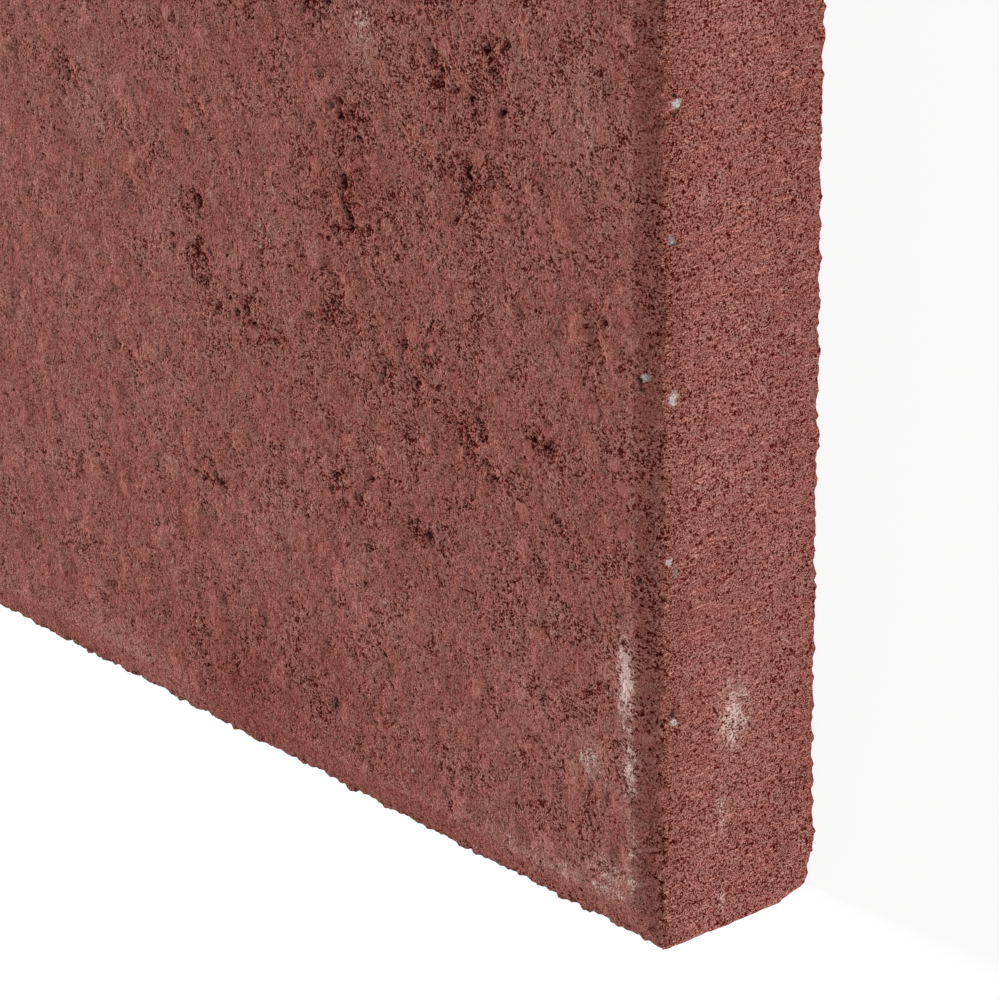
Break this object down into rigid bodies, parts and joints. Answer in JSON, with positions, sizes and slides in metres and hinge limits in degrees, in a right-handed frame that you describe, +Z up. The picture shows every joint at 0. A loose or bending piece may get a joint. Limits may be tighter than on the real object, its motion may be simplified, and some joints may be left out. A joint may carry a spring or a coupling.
{
  "type": "concrete paving stone",
  "caption": "Square dry-cast concrete paving slab with a flat bed, plumb sides and a shallow bevel round its walking face, laid on a sand or mortar bed.",
  "frame": {"origin": "middle of the underside, on the surface that the slab lies on", "axes": "+Z up through the thickness towards the bevelled walking face, +X along the length, +Y along the width"},
  "size_m": [0.3, 0.3, 0.04],
  "materials": {
    "red_concrete": "matt, rough dry-cast concrete coloured red-brown through its whole thickness"
  },
  "bodies": {
    "root": {"paving_stone": "red_concrete"}
  },
  "joints": []
}
